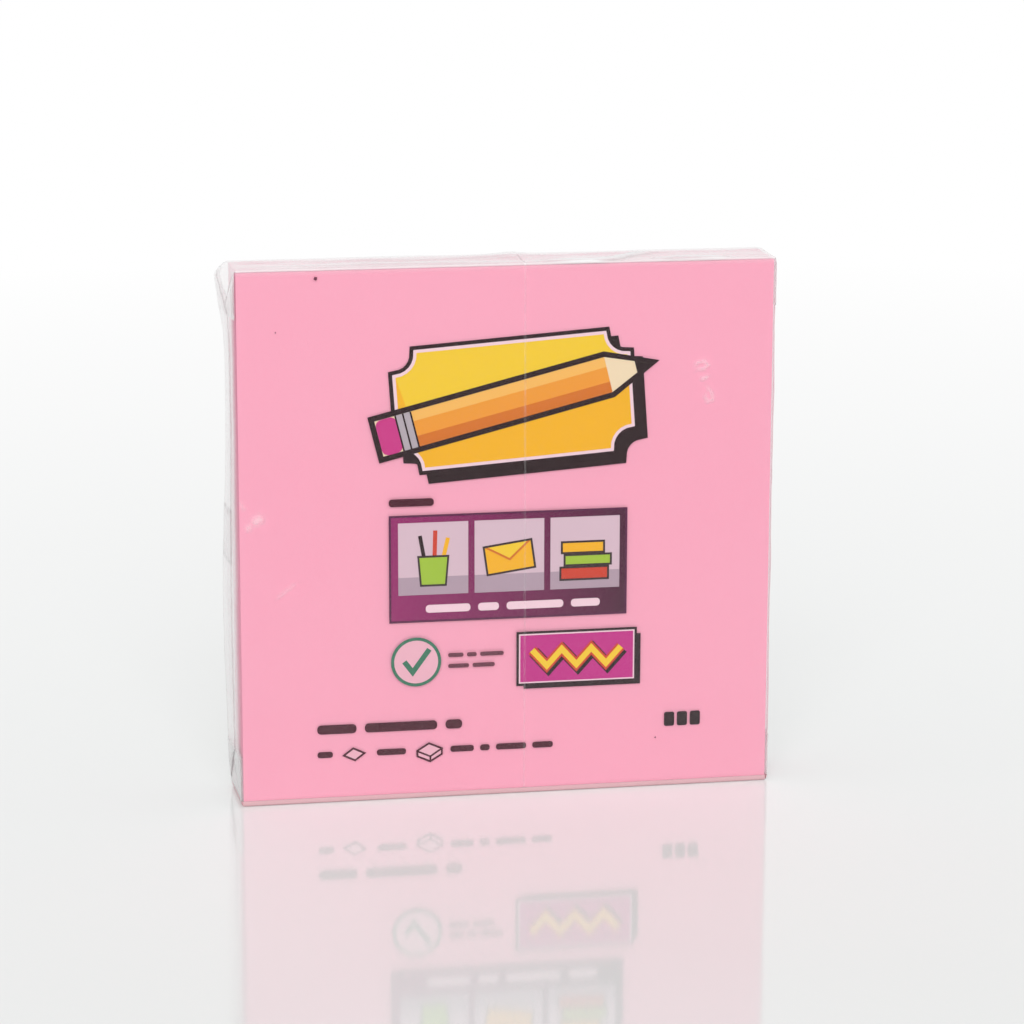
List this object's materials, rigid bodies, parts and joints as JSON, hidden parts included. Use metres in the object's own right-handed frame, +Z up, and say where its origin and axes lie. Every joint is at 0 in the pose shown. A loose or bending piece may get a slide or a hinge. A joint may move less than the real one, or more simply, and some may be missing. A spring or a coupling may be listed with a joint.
{
  "type": "sticky note pad",
  "caption": "Square pad of pink self-stick notes on a backing sheet, sealed in a clear folded film wrap and standing on its lower edge.",
  "frame": {"origin": "on the surface that the pack stands on, under the middle of the note block", "axes": "+Z up, the notes face -Y, +X to the right seen from the front"},
  "size_m": [0.0792, 0.0109, 0.0774],
  "materials": {
    "note_paper": "uncoated, matt",
    "adhesive": "dull, tacky",
    "backing_paper": "release coated, satin",
    "clear_film": "clear, glossy"
  },
  "bodies": {
    "root": {"note_block": "note_paper", "adhesive_band": "adhesive", "backing_sheet": "backing_paper", "film_wrap": "clear_film"}
  },
  "joints": []
}
